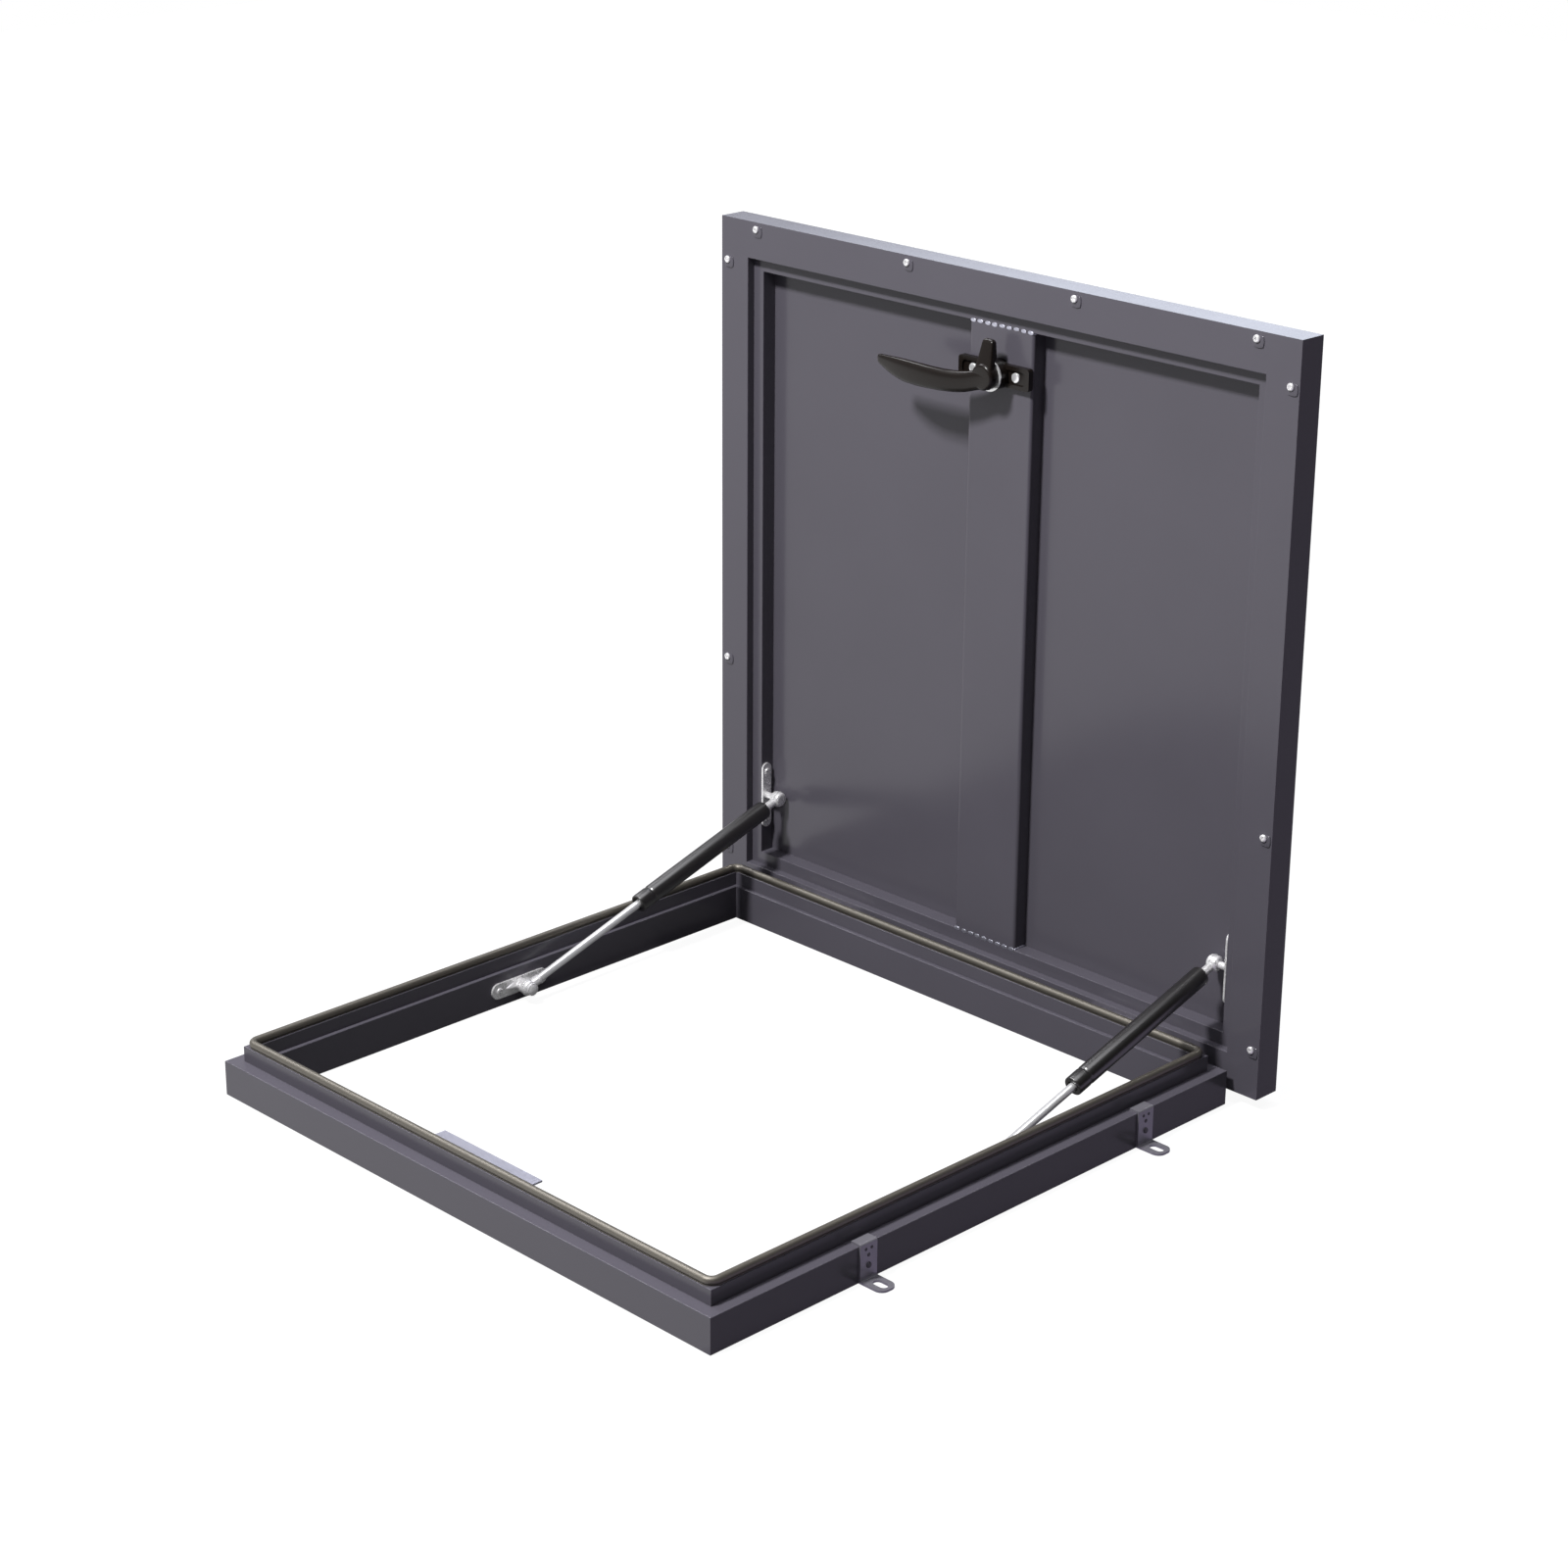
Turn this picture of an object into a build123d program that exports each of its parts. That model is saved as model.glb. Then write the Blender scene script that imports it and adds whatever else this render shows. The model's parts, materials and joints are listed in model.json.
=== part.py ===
# Roof access hatch: an aluminium curb frame with a hinged lid that stands open at a right
# angle, steadied by a gas strut at each side and locked from inside by a cam handle.
# Millimetres. The origin is the centre of the roof opening, level with the curb's underside.
# +X runs to the right, +Y towards the hinges and +Z up. The lid is drawn closed, lying on
# the curb, and is then turned about the hinge axis to stand open.
import math
import os

from build123d import *

os.makedirs("parts", exist_ok=True)

# Curb frame: a hollow rail on each side, mitred at the corners
opening = 600.0
rail_width = 25.0
rail_wall = 2.0
rail_edge_radius = 0.7
ledge_height = 34.0
ledge_width = 12.8
lip_rise = 15.0
lip_width = 8.2
inner_step_rise = 1.0

# Bulb gasket on the lip
gasket_width = 7.6
gasket_height = 7.5
gasket_corner_radius = 12.0
gasket_crown_radius = 3.4
gasket_squeeze_gap = 0.4

# Lid, with its depths measured from the flange face that faces the curb
lid_overhang = 29.5
lid_thickness = 30.4
skin_thickness = 1.5
skin_edge_radius = 2.0
flange_width = 36.5
lid_ledge_width = 13.0
liner_drop = 25.0
liner_thickness = 1.2
liner_edge_gap = 0.5
lid_rail_wall = 1.6

# Stiffener bar down the middle of the lid, which also carries the handle
bar_width = 78.4
bar_centre_x = 8.0
bar_sheet = 2.0
bar_bend_radius = 3.2
bar_end_gap = 0.3

# Hinges at the rear, with the axis above the curb's outer ledge
hinge_rise = 7.0
hinge_length = 90.0
hinge_centre_x = 200.0
hinge_leaf_thickness = 1.5
hinge_leaf_bottom = 10.5
hinge_leaf_margin = 2.0
hinge_flange_gap = 2.2
knuckle_radius = 3.5
knuckle_gap = 0.3
middle_knuckle_length = 36.0
hinge_pin_radius = 1.8
hinge_pin_clearance = 0.05

# Gas struts, with each pin given as a height and a distance from the opening's centre
strut_centre_x = 287.0
strut_base_pin_y = 6.0
strut_base_pin_z = 17.0
strut_lid_pin_y = 243.0
strut_lid_pin_depth = 6.1
cylinder_radius = 9.0
cylinder_wall = 1.5
cylinder_chamfer = 1.2
cylinder_end_offset = 19.0
cylinder_length = 185.0
rod_radius = 4.0
rod_clearance = 0.05
rod_guide_length = 12.0
piston_length = 5.0
piston_clearance = 0.1
piston_offset = 2.0
eye_radius = 7.5
eye_width = 12.0
rod_neck_radius = 4.8
rod_neck_length = 16.0
cylinder_neck_radius = 4.2
stud_radius = 3.5
stud_clearance = 0.05
stud_collar_radius = 6.0
stud_head_radius = 6.2
stud_head_height = 2.5
stud_side_gap = 0.3
bracket_plate_length = 70.0
bracket_plate_thickness = 2.0
base_bracket_width = 16.0
lid_bracket_width = 12.0

# Cam handle on the stiffener bar, with heights measured out from the bar's face
handle_distance_from_front = 93.0
handle_plate_length = 87.0
handle_plate_offset = -3.5
handle_plate_width = 21.0
handle_plate_thickness = 6.0
handle_plate_radius = 3.0
handle_screw_spacing = 52.6
handle_recess_length = 25.0
handle_recess_width = 13.0
handle_recess_depth = 2.0
handle_recess_radius = 4.0
handle_boss_radius = 14.0
handle_boss_height = 9.0
handle_washer_radius = 14.8
handle_washer_thickness = 1.2
handle_hub_radius = 12.5
handle_hub_height = 11.0
tongue_reach = 34.5
tongue_root_width = 22.0
tongue_tip_width = 12.0
tongue_tip_thickness = 5.8
tongue_drop = 3.0
tongue_boss_gap = 1.5
lever_length = 127.0
lever_belly = 20.0
lever_crest = 7.0
lever_bow = 10.0
lever_depth = 11.0

# Lever from hub to tip: shares of its length, belly, crest, bow and depth
lever_stations = [
    (0.0, 0.6, 1.0, 0.0, 1.0),
    (0.13, 0.83, 0.45, 0.12, 1.0),
    (0.32, 0.98, 0.15, 0.5, 1.0),
    (0.55, 1.0, 0.25, 0.92, 0.9),
    (0.79, 0.85, 0.28, 1.0, 0.72),
    (1.0, 0.35, 0.08, 0.85, 0.4),
]

# Keeper inside the front rail, which the handle's tongue turns under
keeper_length = 130.0
keeper_reach = 21.0
keeper_sheet = 1.8
keeper_bend_radius = 1.6
keeper_leg_height = 9.8
tongue_keeper_gap = 0.6

# Anchor brackets on the outer faces
anchor_width = 20.0
anchor_sheet = 2.0
anchor_bend_radius = 2.0
anchor_hook_reach = 9.0
anchor_foot_reach = 27.0
anchor_foot_radius = 8.0
anchor_slot_length = 15.0
anchor_slot_width = 8.5
anchor_slot_centre = 16.0
anchor_front_y = -147.0
anchor_rear_y = 208.0

# Positions that follow from the sizes above
base_half = opening / 2 + rail_width
lip_outer = base_half - ledge_width
lip_inner = lip_outer - lip_width
inner_wall = opening / 2
lip_height = ledge_height + lip_rise
inner_step_height = ledge_height + inner_step_rise
hinge_axis_height = ledge_height + hinge_rise
lid_half = base_half + lid_overhang
closed_flange_height = (
    hinge_axis_height + knuckle_radius + hinge_leaf_thickness + hinge_flange_gap
)
lid_ledge_height = lip_height + gasket_height + gasket_squeeze_gap
lid_ledge_drop = lid_ledge_height - closed_flange_height
liner_height = closed_flange_height + liner_drop
lid_recess_half = lid_half - flange_width - lid_ledge_width
hinge_axis_y = base_half
bar_face_height = lid_ledge_height
handle_centre_y = handle_distance_from_front - lid_half
handle_hub_base = handle_plate_thickness + handle_boss_height + handle_washer_thickness
tongue_back = handle_hub_base - tongue_drop

strut_lid_pin_z = lid_ledge_height + strut_lid_pin_depth
strut_closed_run = strut_lid_pin_y - strut_base_pin_y
strut_closed_rise = strut_lid_pin_z - strut_base_pin_z


def save(name, shape):
    # One STEP file for each piece, under its own name
    shape.label = name
    export_step(shape, f"parts/{name}.step")


def outline(points):
    return make_face(Polyline(*points, close=True))


def rounded(face, corners, radius):
    # Rounds the face's corners that lie at the given points
    same_place = 0.001
    chosen = []
    for corner in face.vertices():
        if any(math.dist((corner.X, corner.Y), point) < same_place for point in corners):
            chosen.append(corner)
    return fillet(chosen, radius)


def opened(shape):
    # Turns a piece of the closed lid about the hinge axis until the lid stands upright
    to_axis = Location((0, hinge_axis_y, hinge_axis_height))
    return to_axis * Rotation(-90, 0, 0) * to_axis.inverse() * shape


def opened_point(y, z):
    # The same turn for one point of the closed lid
    return (
        hinge_axis_y + z - hinge_axis_height,
        hinge_axis_height + hinge_axis_y - y,
    )


def mitred_rail(points, corners, chambers, half_size, base_z):
    # The front rail of a square frame. Points, rounded corners and chambers are distances
    # inward from the outer face and heights above base_z; the ends are cut at 45 degrees.
    profile = rounded(outline(points), corners, rail_edge_radius)
    for low, high in chambers:
        width = high[0] - low[0]
        height = high[1] - low[1]
        middle = ((low[0] + high[0]) / 2, (low[1] + high[1]) / 2)
        profile -= Pos(*middle) * Rectangle(width, height)
    placed = Plane.YZ * Pos(-half_size, base_z) * profile
    bar = extrude(placed, amount=half_size, both=True)
    wedge_points = [(0, 0), (-2 * half_size, -2 * half_size), (2 * half_size, -2 * half_size)]
    return bar & extrude(outline(wedge_points), amount=half_size, both=True)


def round_bar(points):
    # A turned piece along the X axis from its half section of (distance, radius)
    return revolve(outline(points), axis=Axis.X)


def curb_rail():
    points = [
        (0, 0),
        (rail_width, 0),
        (rail_width, inner_step_height),
        (ledge_width + lip_width, inner_step_height),
        (ledge_width + lip_width, lip_height),
        (ledge_width, lip_height),
        (ledge_width, ledge_height),
        (0, ledge_height),
    ]
    lower = ((rail_wall, rail_wall), (rail_width - rail_wall, ledge_height - rail_wall))
    upper = (
        (ledge_width + rail_wall, ledge_height),
        (ledge_width + lip_width - rail_wall, lip_height - rail_wall),
    )
    edges = [points[2], points[4], points[5], points[7]]
    return mitred_rail(points, edges, [lower, upper], base_half, 0)


def lid_rail():
    back = lid_thickness - skin_thickness
    inner_edge = flange_width + lid_ledge_width
    points = [
        (skin_thickness, 0),
        (flange_width, 0),
        (flange_width, lid_ledge_drop),
        (inner_edge, lid_ledge_drop),
        (inner_edge, liner_drop),
        (flange_width, liner_drop),
        (flange_width, back),
        (skin_thickness, back),
    ]
    outer_chamber = (
        (skin_thickness + lid_rail_wall, lid_rail_wall),
        (flange_width - lid_rail_wall, back - lid_rail_wall),
    )
    ledge_chamber = (
        (flange_width, lid_ledge_drop + lid_rail_wall),
        (inner_edge - lid_rail_wall, liner_drop - lid_rail_wall),
    )
    chambers = [outer_chamber, ledge_chamber]
    edges = [points[1], points[3]]
    return mitred_rail(points, edges, chambers, lid_half, closed_flange_height)


def gasket():
    outer = 2 * (lip_outer - (lip_width - gasket_width) / 2)
    inner = outer - 2 * gasket_width
    inner_radius = gasket_corner_radius - gasket_width
    ring = RectangleRounded(outer, outer, gasket_corner_radius)
    ring -= RectangleRounded(inner, inner, inner_radius)
    bulb = Pos(0, 0, lip_height) * extrude(ring, amount=gasket_height)
    return fillet(bulb.edges().group_by(Axis.Z)[-1], gasket_crown_radius)


def lid_skin():
    top = closed_flange_height + lid_thickness
    middle = Pos(0, 0, top - lid_thickness / 2)
    tray = middle * Box(2 * lid_half, 2 * lid_half, lid_thickness)
    tray = fillet(tray.edges().group_by(Axis.Z)[-1], skin_edge_radius)
    inside = 2 * (lid_half - skin_thickness)
    return tray - middle * Pos(0, 0, -skin_thickness) * Box(inside, inside, lid_thickness)


def lid_liner():
    side = 2 * (lid_half - flange_width - liner_edge_gap)
    middle = Pos(0, 0, liner_height + liner_thickness / 2)
    return middle * Box(side, side, liner_thickness)


def stiffener_bar():
    # A bent channel: its web is flush with the lid's ledge and its sides reach the liner
    half = bar_width / 2
    inside = half - bar_sheet
    web = bar_face_height
    points = [
        (-half, web),
        (half, web),
        (half, liner_height),
        (inside, liner_height),
        (inside, web + bar_sheet),
        (-inside, web + bar_sheet),
        (-inside, liner_height),
        (-half, liner_height),
    ]
    channel = rounded(outline(points), points[0:2], bar_bend_radius)
    channel = rounded(channel, points[4:6], bar_bend_radius - bar_sheet)
    section = Plane.XZ * Pos(bar_centre_x, 0) * channel
    return extrude(section, amount=lid_recess_half - bar_end_gap, both=True)


def hinge_knuckle(length, middle_x=0.0):
    tube = Cylinder(knuckle_radius, length) - Cylinder(
        hinge_pin_radius + hinge_pin_clearance, length
    )
    return Pos(middle_x, hinge_axis_y, hinge_axis_height) * Rotation(0, 90, 0) * tube


def hinge_bore():
    bore = Cylinder(hinge_pin_radius + hinge_pin_clearance, 2 * hinge_length)
    return Pos(0, hinge_axis_y, hinge_axis_height) * Rotation(0, 90, 0) * bore


def hinge_base_leaf():
    # Lies on the curb's rear face and ends in the two outer knuckles
    height = hinge_axis_height - hinge_leaf_bottom
    plate = Box(hinge_length, hinge_leaf_thickness, height)
    middle = Pos(0, hinge_axis_y + hinge_leaf_thickness / 2, hinge_leaf_bottom + height / 2)
    notch_length = middle_knuckle_length + 2 * knuckle_gap
    notch_height = 2 * (knuckle_radius + 2 * knuckle_gap)
    notch = Pos(0, hinge_axis_y, hinge_axis_height) * Box(
        notch_length, 4 * knuckle_radius, notch_height
    )
    leaf = middle * plate - notch - hinge_bore()
    length = (hinge_length - notch_length) / 2
    offset = (hinge_length + notch_length) / 4
    for side in (-1, 1):
        leaf += hinge_knuckle(length, side * offset)
    return leaf


def hinge_lid_leaf():
    # Cranked leaf under the lid's rear overhang, drawn with the lid closed
    gap_to_flange = closed_flange_height - hinge_axis_height
    half_sheet = hinge_leaf_thickness / 2
    far_end = lid_half - hinge_leaf_margin
    points = [
        (hinge_axis_y - half_sheet, hinge_axis_height),
        (hinge_axis_y + half_sheet, hinge_axis_height),
        (hinge_axis_y + half_sheet, closed_flange_height - hinge_leaf_thickness),
        (far_end, closed_flange_height - hinge_leaf_thickness),
        (far_end, closed_flange_height),
        (hinge_axis_y - half_sheet, closed_flange_height),
    ]
    middle = extrude(Plane.YZ * outline(points), amount=middle_knuckle_length / 2, both=True)
    plate_width = far_end - hinge_axis_y + half_sheet
    plate = Pos(
        0,
        far_end - plate_width / 2,
        hinge_axis_height + gap_to_flange - half_sheet,
    ) * Box(hinge_length, plate_width, hinge_leaf_thickness)
    return middle + plate - hinge_bore() + hinge_knuckle(middle_knuckle_length)


def hinge_pin():
    pin = Rotation(0, 90, 0) * Cylinder(hinge_pin_radius, hinge_length)
    return Pos(0, hinge_axis_y, hinge_axis_height) * pin


def strut_place(side):
    # The strut's own frame: X along the strut from the base pin, Z across the hatch
    lid_y, lid_z = opened_point(strut_lid_pin_y, strut_lid_pin_z)
    along = Vector(0, lid_y - strut_base_pin_y, lid_z - strut_base_pin_z)
    origin = (side * strut_centre_x, strut_base_pin_y, strut_base_pin_z)
    place = Plane(origin=origin, x_dir=along.normalized(), z_dir=(side, 0, 0))
    return place.location, along.length


def strut_rod_eye():
    # A flat-sided eye on a short neck, centred on the pin at the origin
    eye = Cylinder(eye_radius, eye_width)
    neck = round_bar([
        (0, 0),
        (0, rod_neck_radius),
        (rod_neck_length, rod_neck_radius),
        (rod_neck_length, 0),
    ])
    return eye + neck - Cylinder(stud_radius + stud_clearance, 2 * eye_width)


def strut_rod(length):
    mouth = length - cylinder_end_offset - cylinder_length
    piston_start = mouth + rod_guide_length + piston_offset
    piston_radius = cylinder_radius - cylinder_wall - piston_clearance
    return round_bar([
        (rod_neck_length, 0),
        (rod_neck_length, rod_radius),
        (piston_start, rod_radius),
        (piston_start, piston_radius),
        (piston_start + piston_length, piston_radius),
        (piston_start + piston_length, 0),
    ])


def strut_cylinder(length):
    end = length - cylinder_end_offset
    mouth = end - cylinder_length
    guide = rod_radius + rod_clearance
    bore = cylinder_radius - cylinder_wall
    return round_bar([
        (mouth, guide),
        (mouth, cylinder_radius - cylinder_chamfer),
        (mouth + cylinder_chamfer, cylinder_radius),
        (end - cylinder_chamfer, cylinder_radius),
        (end, cylinder_radius - cylinder_chamfer),
        (end, 0),
        (end - 2 * cylinder_wall, 0),
        (end - 2 * cylinder_wall, bore),
        (mouth + rod_guide_length, bore),
        (mouth + rod_guide_length, guide),
    ])


def strut_lid_end(length):
    # The eye at the cylinder's end, with its neck seated on the cylinder's end face
    neck_length = cylinder_end_offset
    eye = Cylinder(eye_radius, eye_width)
    neck = round_bar([
        (-neck_length, 0),
        (-neck_length, cylinder_neck_radius),
        (0, cylinder_neck_radius),
        (0, 0),
    ])
    return Pos(length, 0, 0) * (eye + neck)


def bracket_plate(width):
    # Oval plate with its back on the XY plane
    return extrude(SlotOverall(bracket_plate_length, width), amount=bracket_plate_thickness)


def base_strut_bracket(side):
    # Drawn on the inner wall with Z pointing into the opening: the collar and the head hold
    # the strut's eye between them
    wall_to_strut = inner_wall - strut_centre_x
    near = wall_to_strut - eye_width / 2 - stud_side_gap
    far = wall_to_strut + eye_width / 2 + stud_side_gap
    plate = bracket_plate(base_bracket_width)
    collar = extrude(Circle(stud_collar_radius), amount=near)
    stud = extrude(Circle(stud_radius), amount=far)
    head = Pos(0, 0, far) * extrude(Circle(stud_head_radius), amount=stud_head_height)
    place = Plane(
        origin=(side * inner_wall, strut_base_pin_y, strut_base_pin_z),
        x_dir=(0, 1, 0),
        z_dir=(-side, 0, 0),
    )
    return place.location * (plate + collar + stud + head)


def lid_strut_bracket(side):
    # Drawn on the side of the lid's recess with Z pointing towards the strut
    wall_to_strut = lid_recess_half - strut_centre_x
    near = wall_to_strut - eye_width / 2 - stud_side_gap
    stud = extrude(Circle(stud_radius), amount=near)
    place = Plane(
        origin=(side * lid_recess_half, strut_lid_pin_y, strut_lid_pin_z),
        x_dir=(0, 1, 0),
        z_dir=(-side, 0, 0),
    )
    return place.location * (bracket_plate(lid_bracket_width) + stud)


def keeper_plate():
    # An angle on the upper inner wall, with its shelf just above the locked tongue
    wall_y = -lip_inner
    shelf = bar_face_height - tongue_back + tongue_keeper_gap
    top = shelf + keeper_sheet
    points = [
        (wall_y, top - keeper_leg_height),
        (wall_y + keeper_sheet, top - keeper_leg_height),
        (wall_y + keeper_sheet, shelf),
        (wall_y + keeper_reach, shelf),
        (wall_y + keeper_reach, top),
        (wall_y, top),
    ]
    section = Plane.YZ * rounded(outline(points), points[5:], keeper_bend_radius)
    return Pos(bar_centre_x, 0, 0) * extrude(section, amount=keeper_length / 2, both=True)


def anchor_bracket(side, middle_y):
    # Hooked over the outer ledge, down the outer face and out along the roof
    points = [
        (base_half - anchor_hook_reach, ledge_height),
        (base_half, ledge_height),
        (base_half, 0),
        (base_half + anchor_foot_reach, 0),
        (base_half + anchor_foot_reach, anchor_sheet),
        (base_half + anchor_sheet, anchor_sheet),
        (base_half + anchor_sheet, ledge_height + anchor_sheet),
        (base_half - anchor_hook_reach, ledge_height + anchor_sheet),
    ]
    profile = rounded(outline(points), points[5:7], anchor_bend_radius)
    strap = extrude(Plane.XZ * profile, amount=anchor_width / 2, both=True)
    foot_end = strap.edges().filter_by(Axis.Z).group_by(Axis.X)[-1]
    strap = fillet(foot_end, anchor_foot_radius)
    slot = extrude(SlotOverall(anchor_slot_length, anchor_slot_width), amount=2 * anchor_sheet)
    strap -= Pos(base_half + anchor_slot_centre, 0, -anchor_sheet / 2) * slot
    if side < 0:
        strap = strap.mirror(Plane.YZ)
    return Pos(0, middle_y, 0) * strap


def handle_place():
    # X along the bar's width, Y towards the lid's front edge, Z out from the bar's face
    return Plane(
        origin=(bar_centre_x, handle_centre_y, bar_face_height),
        x_dir=(1, 0, 0),
        z_dir=(0, 0, -1),
    ).location


def handle_base():
    # An oblong plate with a screw recess at each end, and the boss that carries the lever
    plate = extrude(
        RectangleRounded(handle_plate_length, handle_plate_width, handle_plate_radius),
        amount=handle_plate_thickness,
    )
    recess = extrude(
        RectangleRounded(handle_recess_length, handle_recess_width, handle_recess_radius),
        amount=handle_recess_depth,
    )
    for end in (-1, 1):
        place = Pos(end * handle_screw_spacing / 2, 0, handle_plate_thickness)
        plate -= place * Pos(0, 0, -handle_recess_depth) * recess
    boss = extrude(
        Circle(handle_boss_radius), amount=handle_plate_thickness + handle_boss_height
    )
    return Pos(handle_plate_offset, 0, 0) * plate + boss


def handle_washer():
    ring = extrude(Circle(handle_washer_radius), amount=handle_washer_thickness)
    return Pos(0, 0, handle_plate_thickness + handle_boss_height) * ring


def lever_blade():
    # The shape seen from below and the shape seen from the side, each drawn as one closed
    # curve through the stations; the blade is what the two have in common
    lower = []
    upper = []
    near = []
    far = []
    middle = handle_hub_base + handle_hub_height / 2
    for share, belly, crest, bow, depth in lever_stations:
        reach = -share * lever_length
        lower.append((reach, -belly * lever_belly))
        upper.append((reach, crest * lever_crest))
        out = middle + bow * lever_bow
        near.append((reach, out - depth * lever_depth / 2))
        far.append((reach, out + depth * lever_depth / 2))
    seen_from_below = closed_curve(lower, upper)
    seen_from_side = closed_curve(near, far)
    width = extrude(seen_from_below, amount=lever_length)
    depth = extrude(Plane.XZ * seen_from_side, amount=lever_length, both=True)
    return width & depth


def closed_curve(first, second):
    # A face between two smooth lines that run side by side
    return make_face([
        Spline(*first),
        Line(first[-1], second[-1]),
        Spline(*second),
        Line(second[0], first[0]),
    ])


def lever_tongue():
    # Tapers towards its tip both across and in depth, and steps down past the boss
    root = tongue_root_width / 2
    tip = tongue_tip_width / 2
    front = extrude(
        outline([(-root, 0), (root, 0), (tip, tongue_reach), (-tip, tongue_reach)]),
        amount=handle_hub_base + handle_hub_height,
    )
    step = handle_washer_radius + tongue_boss_gap
    profile = outline([
        (0, handle_hub_base),
        (step, handle_hub_base),
        (step, tongue_back),
        (tongue_reach, tongue_back),
        (tongue_reach, tongue_back + tongue_tip_thickness),
        (0, handle_hub_base + handle_hub_height),
    ])
    return front & extrude(Plane.YZ * profile, amount=root, both=True)


def handle_lever():
    hub = Pos(0, 0, handle_hub_base) * extrude(
        Circle(handle_hub_radius), amount=handle_hub_height
    )
    return hub + lever_tongue() + lever_blade()


sides = {"left": -1, "right": 1}

# Curb frame and its gasket
for turn, name in ((0, "front"), (90, "right"), (180, "rear"), (270, "left")):
    save(f"base_rail_{name}", Rotation(0, 0, turn) * curb_rail())
    save(f"lid_rail_{name}", opened(Rotation(0, 0, turn) * lid_rail()))
save("gasket", gasket())
save("keeper_plate", keeper_plate())
for name, side in sides.items():
    save(f"anchor_bracket_front_{name}", anchor_bracket(side, anchor_front_y))
    save(f"anchor_bracket_rear_{name}", anchor_bracket(side, anchor_rear_y))

# Lid
save("lid_skin", opened(lid_skin()))
save("lid_liner", opened(lid_liner()))
save("stiffener_bar", opened(stiffener_bar()))

# Hinges
for name, side in sides.items():
    offset = Pos(side * hinge_centre_x, 0, 0)
    save(f"hinge_base_leaf_{name}", offset * hinge_base_leaf())
    save(f"hinge_pin_{name}", offset * hinge_pin())
    save(f"hinge_lid_leaf_{name}", opened(offset * hinge_lid_leaf()))

# Gas struts and the brackets that hold them
for name, side in sides.items():
    place, strut_length = strut_place(side)
    save(f"strut_base_bracket_{name}", base_strut_bracket(side))
    save(f"strut_lid_bracket_{name}", opened(lid_strut_bracket(side)))
    save(f"strut_rod_{name}", place * strut_rod(strut_length))
    save(f"strut_rod_end_{name}", place * strut_rod_eye())
    save(f"strut_cylinder_{name}", place * strut_cylinder(strut_length))
    save(f"strut_cylinder_end_{name}", place * strut_lid_end(strut_length))

# Handle
save("handle_base", opened(handle_place() * handle_base()))
save("handle_washer", opened(handle_place() * handle_washer()))
save("handle_lever", opened(handle_place() * handle_lever()))

closed_angle = math.degrees(math.atan2(strut_closed_rise, strut_closed_run))
pin_y, pin_z = opened_point(strut_lid_pin_y, strut_lid_pin_z)
open_angle = math.degrees(math.atan2(pin_z - strut_base_pin_z, pin_y - strut_base_pin_y))
print("hinge axis", hinge_axis_y, hinge_axis_height)
print("strut pins, lid open", (pin_y, pin_z), "length", round(strut_length, 4))
print("strut length, lid closed", round(math.hypot(strut_closed_run, strut_closed_rise), 4))
print("strut angle open and closed", round(open_angle, 4), round(closed_angle, 4))
print("handle pivot, lid open", bar_centre_x, opened_point(handle_centre_y, bar_face_height))
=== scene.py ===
import json
import math

import bpy
import numpy as np
from mathutils import Matrix, Vector


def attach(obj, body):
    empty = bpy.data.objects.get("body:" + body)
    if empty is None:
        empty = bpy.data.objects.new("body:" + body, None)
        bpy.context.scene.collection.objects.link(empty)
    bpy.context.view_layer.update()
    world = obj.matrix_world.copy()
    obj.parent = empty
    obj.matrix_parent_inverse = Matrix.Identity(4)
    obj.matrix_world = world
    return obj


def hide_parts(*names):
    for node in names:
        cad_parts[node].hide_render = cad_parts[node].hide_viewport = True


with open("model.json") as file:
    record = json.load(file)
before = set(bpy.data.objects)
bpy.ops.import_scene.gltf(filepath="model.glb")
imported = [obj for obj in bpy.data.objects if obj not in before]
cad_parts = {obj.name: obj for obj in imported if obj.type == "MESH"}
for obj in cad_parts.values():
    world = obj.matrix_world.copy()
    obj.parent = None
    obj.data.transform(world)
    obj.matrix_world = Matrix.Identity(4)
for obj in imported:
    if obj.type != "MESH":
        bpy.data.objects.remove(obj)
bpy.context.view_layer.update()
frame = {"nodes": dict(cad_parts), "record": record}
nodes = frame["nodes"]
slotOfNode = {part["node"]: part["material_slot"] for part in frame["record"]["subparts"]}


# Shader maths

class Wire:
    # One output of a shader node. An operator on it adds a Math node and returns that node's wire.
    def __init__(self, recipe, socket):
        self.recipe = recipe
        self.socket = socket

    def maths(self, operation, first, second=0.0):
        return self.recipe.node("ShaderNodeMath", {"operation": operation}, {0: first, 1: second})

    def __add__(self, other):
        return self.maths("ADD", self, other)

    def __radd__(self, other):
        return self.maths("ADD", other, self)

    def __sub__(self, other):
        return self.maths("SUBTRACT", self, other)

    def __rsub__(self, other):
        return self.maths("SUBTRACT", other, self)

    def __mul__(self, other):
        return self.maths("MULTIPLY", self, other)

    def __rmul__(self, other):
        return self.maths("MULTIPLY", other, self)

    def __truediv__(self, other):
        return self.maths("DIVIDE", self, other)

    def __lt__(self, other):
        return self.maths("LESS_THAN", self, other)

    def larger(self, other):
        return self.maths("MAXIMUM", self, other)

    def smaller(self, other):
        return self.maths("MINIMUM", self, other)

    def size(self):
        return self.maths("ABSOLUTE", self)


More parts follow.
